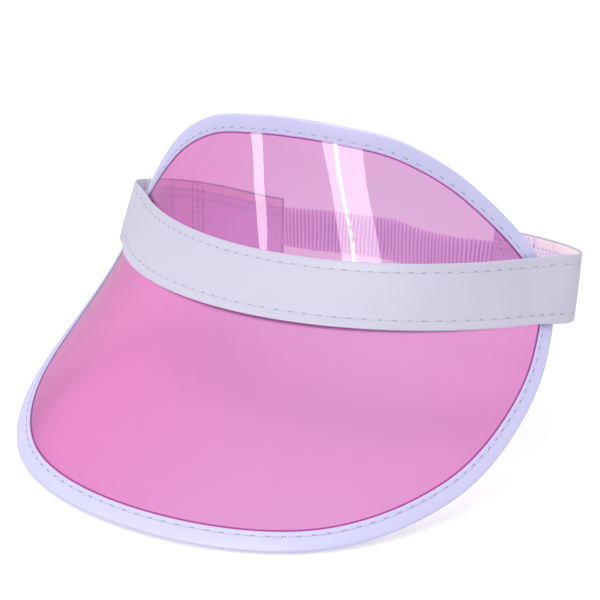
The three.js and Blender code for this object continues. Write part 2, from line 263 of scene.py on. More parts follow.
def band_face(out=0.0, shift=None, side=1):
    """A face of the band: give it millimetres along the band and shares of its height."""

    def at(along, height):
        along, height = np.broadcast_arrays(np.asarray(along, float), np.asarray(height, float))
        forward = band_line(along + 0.5, height) - band_line(along - 0.5, height)
        upwards = band_line(along, height + 0.05) - band_line(along, height - 0.05)
        normal = unit(np.cross(forward, upwards))
        lift = out + (shift(along) if shift else 0)
        lift = np.broadcast_to(lift, along.shape)[..., None]
        return band_line(along, height) + normal * lift, normal * side

    return at


PLACE = {name: place_of(name) for name in NAMED_BACK}
print("band loop:", round(BAND_LENGTH, 1), "mm,", {k: round(v, 1) for k, v in PLACE.items()})

# %% [markdown]
# ## Turning rows of points into a piece
# Every strip, tape and tube here is a grid of points. One helper joins a grid into quads and
# keeps the cloth's own millimetres as its UV map, so a weave runs along the strip it is on.

# %% Mesh helper
def new_object(name, mesh, materials, body, stands_for):
    """Puts a finished mesh in the scene, dressed and riding on its body."""
    piece = bpy.data.objects.new(name, mesh)
    bpy.context.scene.collection.objects.link(piece)
    for material in materials:
        mesh.materials.append(material)
    if stands_for:
        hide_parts(stands_for)
    if body:
        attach(piece, body)
    return piece


def grid_mesh(name, points, uv, wrap_rows=False, wrap_columns=False, caps=False):
    """Quads between the rows and columns of points, which are in millimetres."""
    rows, columns = points.shape[:2]
    row, column = np.meshgrid(
        np.arange(rows if wrap_rows else rows - 1),
        np.arange(columns if wrap_columns else columns - 1),
        indexing="ij",
    )
    corners = [(row, column), (row + 1, column), (row + 1, column + 1), (row, column + 1)]
    quads = np.stack([(r % rows) * columns + c % columns for r, c in corners], -1).reshape(-1, 4)
    marks = np.stack([np.stack([r, c], -1) for r, c in corners], -2).reshape(-1, 4, 2)
    faces = quads.tolist()
    if caps:
        faces.append(list(range(columns)))
        faces.append([(rows - 1) * columns + c for c in range(columns)][::-1])
    mesh = bpy.data.meshes.new(name)
    mesh.from_pydata((points.reshape(-1, 3) * MM).tolist(), [], faces)
    layer = mesh.uv_layers.new(name="cloth")
    flat = uv[np.minimum(marks[..., 0], uv.shape[0] - 1), marks[..., 1] % uv.shape[1]]
    values = (flat.reshape(-1, 2) * MM).astype(np.float32)
    every = np.zeros((len(mesh.loops), 2), np.float32)
    every[: len(values)] = values
    layer.data.foreach_set("uv", every.ravel())
    shape = bmesh.new()
    shape.from_mesh(mesh)
    bmesh.ops.recalc_face_normals(shape, faces=shape.faces)
    for face in shape.faces:
        face.smooth = True
    shape.to_mesh(mesh)
    shape.free()
    return mesh


# %% [markdown]
# ## Stitches
# A lockstitch shows as short raised bars of thread with a needle hole at each end. Each bar is
# modelled as a small arched tube, because a painted line has no shadow and no height. Each needle
# hole is a flat dark disc just above the face: painted shade.

# %% Stitch helper
def add_stitches(name, runs, thread_radius, body, stands_for, holes=True, finish=None):
    """Bars of thread. runs holds (face, starts, ends), whose places are on that face."""
    share = np.linspace(0, 1, 7)
    around = np.arange(6) / 6 * 2 * math.pi
    rim = np.arange(8) / 8 * 2 * math.pi
    points, faces, marks = [], [], []
    used = 0
    for face, starts, ends in runs:
        starts, ends = np.asarray(starts, float), np.asarray(ends, float)
        places = starts[:, None] + (ends - starts)[:, None] * share[:, None]
        line, normal = face(places[..., 0], places[..., 1])
        arch = thread_radius * (2.1 * np.sqrt(np.sin(math.pi * share)) - 1.4)
        line = line + normal * arch[:, None]
        forward = unit(np.gradient(line, axis=1))
        sideways = unit(np.cross(forward, normal))
        upright = np.cross(sideways, forward)
        ring = (
            line[:, :, None]
            + sideways[:, :, None] * (np.cos(around) * thread_radius)[:, None]
            + upright[:, :, None] * (np.sin(around) * thread_radius)[:, None]
        )
        for stitch in ring:
            points.append(stitch.reshape(-1, 3))
            for r in range(len(share) - 1):
                for c in range(6):
                    a, b = used + r * 6 + c, used + r * 6 + (c + 1) % 6
                    faces.append((a, b, b + 6, a + 6))
            faces.append(tuple(used + c for c in range(5, -1, -1)))
            faces.append(tuple(used + 6 * (len(share) - 1) + c for c in range(6)))
            marks += [0] * (6 * (len(share) - 1) + 2)
            used += 6 * len(share)
        if not holes:
            continue
        # Painted shade: a flat dark disc at each needle hole.
        for centre, out, side in zip(
            line[:, [0, -1]].reshape(-1, 3) - (normal * arch[:, None])[:, [0, -1]].reshape(-1, 3),
            normal[:, [0, -1]].reshape(-1, 3),
            sideways[:, [0, -1]].reshape(-1, 3),
        ):
            other = np.cross(out, side)
            disc = centre + out * HOLE_LIFT + HOLE_RADIUS * (
                np.cos(rim)[:, None] * side + np.sin(rim)[:, None] * other
            )
            points.append(disc)
            faces.append(tuple(range(used, used + 8)))
            marks.append(1)
            used += 8
    mesh = bpy.data.meshes.new(name)
    mesh.from_pydata((np.concatenate(points) * MM).tolist(), [], faces)
    mesh.polygons.foreach_set("material_index", marks)
    mesh.polygons.foreach_set("use_smooth", [True] * len(faces))
    print(name, "stitches:", sum(len(run[1]) for run in runs))
    return new_object(name, mesh, [finish or THREAD, NEEDLE_HOLE_SHADE], body, stands_for)


HOLE_RADIUS, HOLE_LIFT = 0.30, 0.04

# %% [markdown]
# ## Shared surface effects
# Vinyl, tape and cloth all vary a little in tone, and each has its own relief. These effects are
# node groups, so that one good recipe serves every material with its own values.

# %% Node group helper
def node_group(name, inputs, outputs):
    """An empty shader group with named sockets and its two end nodes."""
    group = bpy.data.node_groups.new(name, "ShaderNodeTree")
    for label, kind, value in inputs:
        socket = group.interface.new_socket(label, in_out="INPUT", socket_type=kind)
        socket.default_value = value
    for label, kind in outputs:
        group.interface.new_socket(label, in_out="OUTPUT", socket_type=kind)
    return group, group.nodes.new("NodeGroupInput"), group.nodes.new("NodeGroupOutput")


def set_node(tree, kind, links=(), **values):
    """A node with its settings, and links as (input name, source socket)."""
    node = tree.nodes.new(kind)
    for key, value in values.items():
        if hasattr(node, key):
            setattr(node, key, value)
        else:
            node.inputs[key.replace("_", " ")].default_value = value
    for target, source in links:
        tree.links.new(source, node.inputs[target])
    return node


def colour_sockets(sockets):
    """The colour sockets of a Mix node, which also has hidden ones of other kinds."""
    return [socket for socket in sockets if socket.type == "RGBA"]


FLOAT, COLOUR = "NodeSocketFloat", "NodeSocketColor"

# %% Uneven tone
tone_group, given, result = node_group(
    "uneven_tone",
    [("Color", COLOUR, (1, 1, 1, 1)), ("Amount", FLOAT, 0.05), ("Scale", FLOAT, 40)],
    [("Color", COLOUR), ("Mask", FLOAT)],
)
where = set_node(tone_group, "ShaderNodeTexCoord")
cloud = set_node(tone_group, "ShaderNodeTexNoise",
                 [("Vector", where.outputs["Object"]), ("Scale", given.outputs["Scale"])],
                 Detail=4.0)
swing = set_node(tone_group, "ShaderNodeMath", [(0, cloud.outputs["Fac"])], operation="SUBTRACT")
swing.inputs[1].default_value = 0.5
sized = set_node(tone_group, "ShaderNodeMath",
                 [(0, swing.outputs[0]), (1, given.outputs["Amount"])], operation="MULTIPLY")
raised = set_node(tone_group, "ShaderNodeMath", [(0, sized.outputs[0])], operation="ADD")
raised.inputs[1].default_value = 1
toned = set_node(tone_group, "ShaderNodeVectorMath",
                 [(0, given.outputs["Color"])], operation="SCALE")
tone_group.links.new(raised.outputs[0], toned.inputs["Scale"])
tone_group.links.new(toned.outputs[0], result.inputs["Color"])
tone_group.links.new(cloud.outputs["Fac"], result.inputs["Mask"])

# %% Vinyl grain
grain_group, given, result = node_group(
    "vinyl_grain", [("Scale", FLOAT, 1400)], [("Height", FLOAT), ("Mask", FLOAT)]
)
where = set_node(grain_group, "ShaderNodeTexCoord")
cells = set_node(grain_group, "ShaderNodeTexVoronoi",
                 [("Vector", where.outputs["Object"]), ("Scale", given.outputs["Scale"])],
                 feature="SMOOTH_F1")
grain_group.links.new(cells.outputs["Distance"], result.inputs["Height"])
grain_group.links.new(cells.outputs["Distance"], result.inputs["Mask"])

# %% Cloth weave
weave_group, given, result = node_group(
    "cloth_weave", [("Scale", FLOAT, 900)], [("Height", FLOAT), ("Mask", FLOAT)]
)
where = set_node(weave_group, "ShaderNodeUVMap", uv_map="cloth")
threads = [
    set_node(weave_group, "ShaderNodeTexWave",
             [("Vector", where.outputs["UV"]), ("Scale", given.outputs["Scale"])],
             bands_direction=direction, Distortion=0.6)
    for direction in ("X", "Y")
]
crossing = set_node(weave_group, "ShaderNodeMath",
                    [(0, threads[0].outputs["Fac"]), (1, threads[1].outputs["Fac"])],
                    operation="MAXIMUM")
weave_group.links.new(crossing.outputs[0], result.inputs["Height"])
weave_group.links.new(crossing.outputs[0], result.inputs["Mask"])
print("effects:", [g.name for g in bpy.data.node_groups])

# %% [markdown]
# ## Finishes
# Each opaque finish is a Principled shader fed by those groups: tone into colour, relief into
# bump, and the relief's mask into roughness so that high spots look rubbed.

# %% Opaque material helper
def add_material(name):
    material = bpy.data.materials.new(name)
    material.use_nodes = True
    tree = material.node_tree
    return material, tree, tree.nodes["Principled BSDF"]


def opaque(name, colour, relief, relief_scale, depth, rough, tone=0.05, tone_scale=45, sheen=0.0):
    material, tree, shader = add_material(name)
    toned = set_node(tree, "ShaderNodeGroup", node_tree=tone_group)
    toned.inputs["Color"].default_value = (*colour, 1)
    toned.inputs["Amount"].default_value = tone
    toned.inputs["Scale"].default_value = tone_scale
    raised = set_node(tree, "ShaderNodeGroup", node_tree=relief)
    raised.inputs["Scale"].default_value = relief_scale
    bump = set_node(tree, "ShaderNodeBump", [("Height", raised.outputs["Height"])],
                    Strength=0.5, Distance=depth * MM)
    spread = set_node(tree, "ShaderNodeMapRange", [("Value", raised.outputs["Mask"])])
    spread.inputs["To Min"].default_value = rough[0]
    spread.inputs["To Max"].default_value = rough[1]
    tree.links.new(toned.outputs["Color"], shader.inputs["Base Color"])
    tree.links.new(spread.outputs["Result"], shader.inputs["Roughness"])
    tree.links.new(bump.outputs["Normal"], shader.inputs["Normal"])
    shader.inputs["Sheen Weight"].default_value = sheen
    return material, tree, shader, toned


VINYL = opaque("white_vinyl", (0.535, 0.52, 0.642), grain_group, 1500, 0.06, (0.38, 0.5))[0]
TAPE = opaque("lavender_tape", (0.565, 0.55, 0.83), grain_group, 1900, 0.04, (0.4, 0.52))[0]
FOAM_CLOTH = opaque("sweatband_cloth", (0.80, 0.70, 0.80), weave_group, 500, 0.15,
                    (0.8, 0.95), sheen=0.3)[0]
GATHERED, tree, shader, toned = opaque("gathered_cloth", (1.0, 0.84, 1.0), weave_group, 620, 0.08,
                                       (0.55, 0.75), sheen=0.8)
# Painted shade: the cloth is darkened towards this colour at the bottom of each rib's furrow.
groove_shade = set_node(tree, "ShaderNodeAttribute", attribute_name="rib_groove_painted_shade")
shaded = set_node(tree, "ShaderNodeMix", [("Factor", groove_shade.outputs["Fac"])], data_type="RGBA")
shaded_in = colour_sockets(shaded.inputs)
tree.links.new(toned.outputs["Color"], shaded_in[0])
shaded_in[1].default_value = (0.58, 0.38, 0.68, 1)
tree.links.new(colour_sockets(shaded.outputs)[0], shader.inputs["Base Color"])
RUBBER = opaque("elastic_rubber", (0.72, 0.68, 0.70), weave_group, 420, 0.2, (0.7, 0.9))[0]
THREAD = opaque("sewing_thread", (0.64, 0.62, 0.77), grain_group, 2600, 0.05, (0.5, 0.7))[0]
PALE_THREAD = opaque("overlock_thread", (0.90, 0.84, 0.93), grain_group, 2600, 0.05,
                     (0.5, 0.7))[0]
# Painted shade: the dark colour of the needle-hole discs.
NEEDLE_HOLE_SHADE = opaque("needle_hole_shade", (0.24, 0.20, 0.32), grain_group, 2600, 0.02, (0.8, 0.9))[0]
TAPE_OUT = 0.78

# %% [markdown]
# The strap's lining is white with a salmon strip along its top edge. The strip is part of the
# cloth, so its place is read from the cloth's own coordinates.

# %% Lining
SALMON_FROM = 26.6
LINING_WHITE, LINING_SALMON = (0.84, 0.67, 0.87), (0.94, 0.74, 0.80)


def lining(name, strip_until=None):
    """Lining whose salmon strip stops that many millimetres along the band."""
    material, tree, shader, toned = opaque(
        name, LINING_WHITE, weave_group, 560, 0.12, (0.75, 0.92), sheen=0.2
    )
    where = set_node(tree, "ShaderNodeUVMap", uv_map="cloth")
    parts = set_node(tree, "ShaderNodeSeparateXYZ", [("Vector", where.outputs["UV"])])
    edge = set_node(tree, "ShaderNodeMapRange", [("Value", parts.outputs["Y"])])
    edge.inputs["From Min"].default_value = (SALMON_FROM - 0.3) * MM
    edge.inputs["From Max"].default_value = (SALMON_FROM + 0.3) * MM
    share = edge.outputs["Result"]
    if strip_until:
        before = set_node(tree, "ShaderNodeMath", [(0, parts.outputs["X"])], operation="LESS_THAN")
        before.inputs[1].default_value = strip_until * MM
        share = set_node(tree, "ShaderNodeMath", [(0, share), (1, before.outputs[0])],
                         operation="MULTIPLY").outputs[0]
    strip = set_node(tree, "ShaderNodeMix", [("Factor", share)], data_type="RGBA")
    colours = colour_sockets(strip.inputs)
    colours[0].default_value = (*LINING_WHITE, 1)
    colours[1].default_value = (*LINING_SALMON, 1)
    mixed = colour_sockets(strip.outputs)[0]
    tree.links.new(mixed, toned.inputs["Color"])
    return material


LINING, SHORT_STRIP_LINING = lining("strap_lining"), lining("short_strip_lining", 175.5)
print("lining strip starts", SALMON_FROM, "mm up")

# %% [markdown]
# ## Clear PVC
# Clear PVC tints what is behind it and mirrors the lamps. A transmitting Principled shader does
# both. Its colour is stronger where the sheet is seen edge-on, because the light's way through
# is longer there. Below the headband the colour is painted a little stronger: painted light,
# standing in for the ground under the brim, which is lit pink through the sheet so that one sees
# the tint twice there. A thin deep magenta line along the tape's inner edge is painted shade.
# Light for the things behind it passes as through a faint pink gel.

# %% Clear PVC
CLEAR, tree, shader = add_material("clear_pink_pvc")
facing = set_node(tree, "ShaderNodeLayerWeight", Blend=0.5)
TINTS = [(0.0, (0.66, 0.375, 0.635)), (0.25, (0.70, 0.26, 0.57)), (0.5, (0.77, 0.21, 0.54)),
         (0.8, (0.56, 0.11, 0.40)), (1.0, (0.30, 0.03, 0.22))]
tint = set_node(tree, "ShaderNodeValToRGB", [("Fac", facing.outputs["Facing"])])
while len(tint.color_ramp.elements) < len(TINTS):
    tint.color_ramp.elements.new(0.5)
for stop, (place, colour) in zip(tint.color_ramp.elements, TINTS):
    stop.position, stop.color = place, (*colour, 1)
# Painted shade: a thin deep magenta line on the sheet along the tape's inner edge, where the tape
# shades the sheet.
tape_shade_mask = set_node(tree, "ShaderNodeAttribute", attribute_name="painted_tape_shade")
tape_shaded = set_node(tree, "ShaderNodeMix", [("Factor", tape_shade_mask.outputs["Fac"])], data_type="RGBA")
tape_shade_in = colour_sockets(tape_shaded.inputs)
tape_shade_in[1].default_value = (0.40, 0.05, 0.34, 1)
tree.links.new(tint.outputs["Color"], tape_shade_in[0])
tinted = colour_sockets(tape_shaded.outputs)[0]
where = set_node(tree, "ShaderNodeTexCoord")
height = set_node(tree, "ShaderNodeSeparateXYZ", [("Vector", where.outputs["Object"])])
# Painted light: the tint grows stronger below the headband, standing in for the ground under the
# brim, lit pink through the sheet.
brim = set_node(tree, "ShaderNodeMapRange", [("Value", height.outputs["Z"])])
for label, value in (("From Min", 0.012), ("From Max", -0.012), ("To Min", 0.0), ("To Max", 1.0)):
    brim.inputs[label].default_value = value
painted_ground_light = set_node(tree, "ShaderNodeMix", [("Factor", brim.outputs["Result"])],
                  data_type="RGBA", blend_type="MULTIPLY")
painted_ground_light_in = colour_sockets(painted_ground_light.inputs)
tree.links.new(tinted, painted_ground_light_in[0])
painted_ground_light_in[1].default_value = (1.04, 0.85, 0.94, 1)
ground_light_painted = colour_sockets(painted_ground_light.outputs)[0]
toned = set_node(tree, "ShaderNodeGroup", [("Color", ground_light_painted)], node_tree=tone_group)
toned.inputs["Amount"].default_value = 0.03
toned.inputs["Scale"].default_value = 12
ripple = set_node(tree, "ShaderNodeTexNoise", [("Vector", where.outputs["Object"])],
                  Scale=14.0, Detail=1.0)
bump = set_node(tree, "ShaderNodeBump", [("Height", ripple.outputs["Fac"])],
                Strength=0.25, Distance=0.0008)
tree.links.new(toned.outputs["Color"], shader.inputs["Base Color"])
tree.links.new(bump.outputs["Normal"], shader.inputs["Normal"])
shader.inputs["Transmission Weight"].default_value = 1
shader.inputs["Metallic"].default_value = 0
shader.inputs["Roughness"].default_value = 0.02
shader.inputs["IOR"].default_value = 1.5
path = set_node(tree, "ShaderNodeLightPath")
gel = set_node(tree, "ShaderNodeBsdfTransparent")
gel.inputs["Color"].default_value = (1.0, 0.92, 0.98, 1)
bounced = set_node(tree, "ShaderNodeMixShader", [(0, path.outputs["Is Diffuse Ray"]),
                                                 (1, shader.outputs[0]), (2, gel.outputs[0])])
choice = set_node(tree, "ShaderNodeMixShader", [(0, path.outputs["Is Shadow Ray"]),
                                                (1, bounced.outputs[0]), (2, gel.outputs[0])])
tree.links.new(choice.outputs[0], tree.nodes["Material Output"].inputs["Surface"])
print("clear PVC tint, face on:", TINTS[0][1])

# %% [markdown]
# ## The clear sheet
# The sheet is cut as rings that shrink from its edge to a middle point and then rolled. It has
# two faces and a rim, like the real half-millimetre blank, so light bends through it truly.

# %% Make the sheet
FLAT_CENTRE = np.array([0, 45])
SHEET_RINGS, SHEET_TURNS, SHEET_HALF, SHEET_INSET = 44, 320, 0.25, 1.0
turns = np.arange(SHEET_TURNS) / SHEET_TURNS
# The rings by the tape's inner edge also carry the painted shade line along the tape; the next list
# gives its strength at each ring.
TAPE_EDGE_RINGS = [8.4, 8.0, 7.85, 7.3, 7.0, 4.0, SHEET_INSET]
TAPE_SHADE_DEPTH = [0.0, 0.0, 1.0, 1.0, 1.0, 0.0, 0.0]
rim_line = set_in(turns, np.full(SHEET_TURNS, 9.0))
ring_share = np.linspace(0.004, 1, SHEET_RINGS)
flat = FLAT_CENTRE + (rim_line - FLAT_CENTRE) * ring_share[:, None, None]
tape_edge_rings = [set_in(turns, np.full(SHEET_TURNS, inset)) for inset in TAPE_EDGE_RINGS]
flat = np.concatenate([flat, tape_edge_rings])
middle, normal = sheet_face(flat[..., 0], flat[..., 1])
faces_of_sheet = np.concatenate([middle - normal * SHEET_HALF,
                                 (middle + normal * SHEET_HALF)[::-1]])
flat_uv = np.concatenate([flat, flat[::-1]])
mesh = grid_mesh("visor_sheet_clear", faces_of_sheet, flat_uv, wrap_columns=True, caps=True)
# Painted shade along the tape's inner edge, stored on the sheet's points.
tape_shade_share = np.concatenate([np.zeros(SHEET_RINGS), TAPE_SHADE_DEPTH])
tape_shade_share = np.repeat(np.concatenate([tape_shade_share, tape_shade_share[::-1]]), SHEET_TURNS)
layer = mesh.attributes.new("painted_tape_shade", "FLOAT", "POINT")
layer.data.foreach_set("value", tape_shade_share.astype(np.float32))
new_object("visor_sheet_clear", mesh, [CLEAR], "front", "visor_sheet")
print("sheet faces:", len(mesh.polygons))

# %% [markdown]
# ## The edge binding
# A tape is folded over the cut edge and stitched through. Its section is a narrow U, swept round
# the outline. The thread pulls it in a little at each needle hole.

# %% Make the binding
TAPE_WIDTH, TAPE_POCKET, STITCH_INSET = 7.2, 0.34, 5.4
TAPE_PITCH = 6.2
fold = np.linspace(-math.pi / 2, math.pi / 2, 9)
outer = [(TAPE_WIDTH - 0.15, -TAPE_OUT + 0.04), (6.3, -TAPE_OUT), (STITCH_INSET, -TAPE_OUT + 0.1),
         (4.4, -TAPE_OUT), (2.6, -TAPE_OUT - 0.06)]
outer += [(TAPE_OUT * (1 - math.cos(a)), TAPE_OUT * math.sin(a)) for a in fold]
outer += [(inset, -out) for inset, out in outer[4::-1]]
pocket = [(TAPE_WIDTH, TAPE_POCKET), (4.0, TAPE_POCKET), (0.6, TAPE_POCKET),
          (0.6, -TAPE_POCKET), (4.0, -TAPE_POCKET), (TAPE_WIDTH, -TAPE_POCKET)]
section = np.array(outer + pocket)
turns = np.arange(EDGE_STEPS) / EDGE_STEPS
tape_count = round(edge_run[-1] / TAPE_PITCH)
phase = (edge_run[:-1] / edge_run[-1] * tape_count) % 1
near_hole = np.exp(-((np.minimum(phase, 1 - phase) * TAPE_PITCH / 0.9) ** 2))
insets = np.broadcast_to(section[:, 0], (EDGE_STEPS, len(section)))
lifts = np.broadcast_to(section[:, 1], insets.shape).copy()
on_stitch = np.exp(-(((section[:, 0] - STITCH_INSET) / 1.1) ** 2)) * (np.abs(section[:, 1]) > 0.5)
lifts -= np.sign(lifts) * 0.14 * near_hole[:, None] * on_stitch
flat = set_in(turns[:, None] + 0 * insets, insets)
point, normal = sheet_face(flat[..., 0], flat[..., 1])
points = point + normal * lifts[..., None]
uv = np.stack([edge_run[:, None] + 0 * section[:, 0],
               np.tile(section[:, 0], (EDGE_STEPS + 1, 1))], -1)
mesh = grid_mesh("edge_binding_tape", points, uv, wrap_rows=True, wrap_columns=True)
new_object("edge_binding_tape", mesh, [TAPE], "front", "edge_binding")


def turn_of(share):
    return np.interp(np.asarray(share) % 1, edge_run / edge_run[-1], edge_turns)


first = np.arange(tape_count)
gap = 0.09
starts = np.stack([turn_of((first + gap) / tape_count), np.full(tape_count, STITCH_INSET)], -1)
ends = np.stack([turn_of((first + 1 - gap) / tape_count), np.full(tape_count, STITCH_INSET)], -1)
ends[:, 0] += (ends[:, 0] < starts[:, 0])
for name, side, node in (("binding_stitches_outside", 1, "binding_needle_thread"),
                         ("binding_stitches_inside", -1, "binding_bobbin_thread")):
    add_stitches(name, [(tape_face(side), starts, ends)], 0.17, "front", node)

# %% [markdown]
# ## Strips on the band
# The headband, straps and linings are all strips on the band's line. Each has softly rounded
# edges. A sewn strip also dips along its stitch rows and swells between them.

# %% Strip helper
STITCH_ROWS, BAND_PITCH, BAND_MM = (0.14, 0.86), 6.0, 31


def strip_section(low, high, inner, outer, swell=0.0, rows=()):
    """The closed section of a strip, as shares of the height and distances out."""
    round_off = (outer - inner) / 2
    edge = np.linspace(0, math.pi, 6)[1:-1]
    middle = (inner + outer) / 2
    up = np.linspace(0, 1, 27)
    height = low + (high - low) * up
    swelling = swell * np.sin(math.pi * np.clip((up - 0.14) / 0.72, 0, 1)) ** 0.7
    for row in rows:
        swelling = swelling - 0.13 * np.exp(-(((height - row) * BAND_MM / 0.9) ** 2))
    face = np.stack([height, outer + swelling], -1)
    top = np.stack([high + np.sin(edge) * round_off / BAND_MM,
                    middle + np.cos(edge) * round_off], -1)
    back = np.stack([np.linspace(high, low, 8), np.full(8, inner)], -1)
    foot = np.stack([low - np.sin(edge) * round_off / BAND_MM,
                     middle - np.cos(edge) * round_off], -1)
    return np.concatenate([face, top, back, foot])


def add_strip(name, section, start, end, material, body, slot, stands_for, shift=None,
              pitch=None, step=0.9):
    """A strip of that section from start to end, in millimetres along the band."""
    along = np.linspace(start, end, int(abs(end - start) / step) + 2)
    grid_along = np.broadcast_to(along[:, None], (len(along), len(section)))
    height = np.broadcast_to(section[:, 0], grid_along.shape)
    lift = np.broadcast_to(section[:, 1], grid_along.shape).copy()
    if pitch:
        phase = (along / pitch) % 1
        hole = np.exp(-((np.minimum(phase, 1 - phase) * pitch / 0.8) ** 2))
        for row in STITCH_ROWS:
            on_row = np.exp(-(((section[:, 0] - row) * BAND_MM / 1.0) ** 2))
            outside = section[:, 1] > section[:, 1].max() - 0.5
            lift -= 0.16 * hole[:, None] * on_row * outside
    face = band_face(0.0, shift)
    point, normal = face(grid_along, height)
    points = point + normal * lift[..., None]
    uv = np.stack([grid_along, height * BAND_MM], -1)
    mesh = grid_mesh(name, points, uv, wrap_columns=True, caps=True)
    return new_object(name, mesh, [material], body, stands_for)


# %% [markdown]
# ## The headband
# A vinyl strip runs over the front and folds back at each side. It is made in three: the front
# rides on the sheet, and each end is a loose piece of its own, cut where the vinyl really creases.

# %% Make the headband
COVER_IN, COVER_OUT, SHIFT_LENGTH, FOLD_PLACE = 1.8, 2.6, 20, 150
COVER_ENDS = (PLACE["left_hinge"] - BAND_LENGTH, PLACE["right_hinge"])


def smooth(value):
    value = np.clip(value, 0, 1)
    return value * value * (3 - 2 * value)


def cover_shift(along):
    from_end = np.minimum(PLACE["right_hinge"] - along, along + BAND_LENGTH - PLACE["left_hinge"])
    return -(COVER_IN + COVER_OUT) / 2 * (1 - smooth(from_end / SHIFT_LENGTH))


def bend_at(piece):
    """Bakes a piece's placement into its mesh."""
    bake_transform(piece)


fold_left = COVER_ENDS[0] + COVER_ENDS[1] - FOLD_PLACE
parts = [("front", fold_left, FOLD_PLACE), ("left_end", COVER_ENDS[0], fold_left),
         ("right_end", FOLD_PLACE, COVER_ENDS[1])]
cover_section = strip_section(0.012, 0.988, COVER_IN, COVER_OUT, 0.16, STITCH_ROWS)
for part, start, end in parts:
    body = "front" if part == "front" else None
    piece = add_strip("headband_" + part, cover_section, start, end, VINYL, body,
                      "white_vinyl", "headband_cover", cover_shift, BAND_PITCH)
    if body is None:
        bend_at(piece)
    first = np.arange(math.ceil(start / BAND_PITCH), math.floor(end / BAND_PITCH)) * BAND_PITCH
    for row, height in zip(("bottom", "top"), STITCH_ROWS):
        starts = np.stack([first + 0.5, np.full(len(first), height)], -1)
        ends = starts + (BAND_PITCH - 1.0, 0)
        piece = add_stitches(f"band_{row}_stitches_{part}",
                             [(band_face(COVER_OUT - 0.1, cover_shift), starts, ends)], 0.19,
                             body, f"band_{row}_needle_thread")
        if body is None:
            bend_at(piece)

# %% [markdown]
# ## The sweatband
# The strip that touches the forehead is a thin foam pad in cloth. It is quilted down by the same
# two stitch rows as the headband, so it swells between them.

# %% Make the sweatband
SWEAT_IN, SWEAT_OUT, SETBACK = -3.0, -1.9, 44
sweat_section = strip_section(0.05, 0.95, SWEAT_IN, SWEAT_OUT)
belly = (sweat_section[:, 1] == SWEAT_IN)
quilt = np.sin(math.pi * np.clip((sweat_section[:, 0] - 0.14) / 0.72, 0, 1)) ** 0.6
sweat_section[:, 1] -= belly * 0.55 * quilt
sweat_ends = (COVER_ENDS[0] + SETBACK, COVER_ENDS[1] - SETBACK)
piece = add_strip("sweatband_pad", sweat_section, *sweat_ends, FOAM_CLOTH, "front", "lining",
                  "sweatband")
first = np.arange(math.ceil(sweat_ends[0] / BAND_PITCH) + 1,
                  math.floor(sweat_ends[1] / BAND_PITCH) - 1) * BAND_PITCH
for row, height in zip(("bottom", "top"), STITCH_ROWS):
    starts = np.stack([first + 0.5, np.full(len(first), height)], -1)
    add_stitches(f"band_{row}_stitches_inside",
                 [(band_face(SWEAT_IN, side=-1), starts, starts + (BAND_PITCH - 1.0, 0))], 0.19,
                 "front", f"band_{row}_bobbin_thread")

# %% [markdown]
# ## The straps
# Each strap is vinyl outside and lining inside. Overlock stitches run along the lining's strip,
# three upright rows join the strap on, and a V of stitches holds the elastic's end.

# %% Make the straps
OVERLOCK_PITCH, OVERLOCK_ROWS = 2.2, (0.70, 0.83)
SEAM_PITCH, ANCHOR_DEPTH = 3.2, 7
strap_section = strip_section(0.012, 0.988, -0.35, 0.4)
facing_section = strip_section(0.03, 0.965, -1.3, -0.7)
fold_section = strip_section(0.03, 0.965, -1.3, -0.7)
FOLD_LINING = {"right": 27, "left": 15}


def fold_shift(along):
    return cover_shift(along) + (COVER_IN + COVER_OUT) / 2


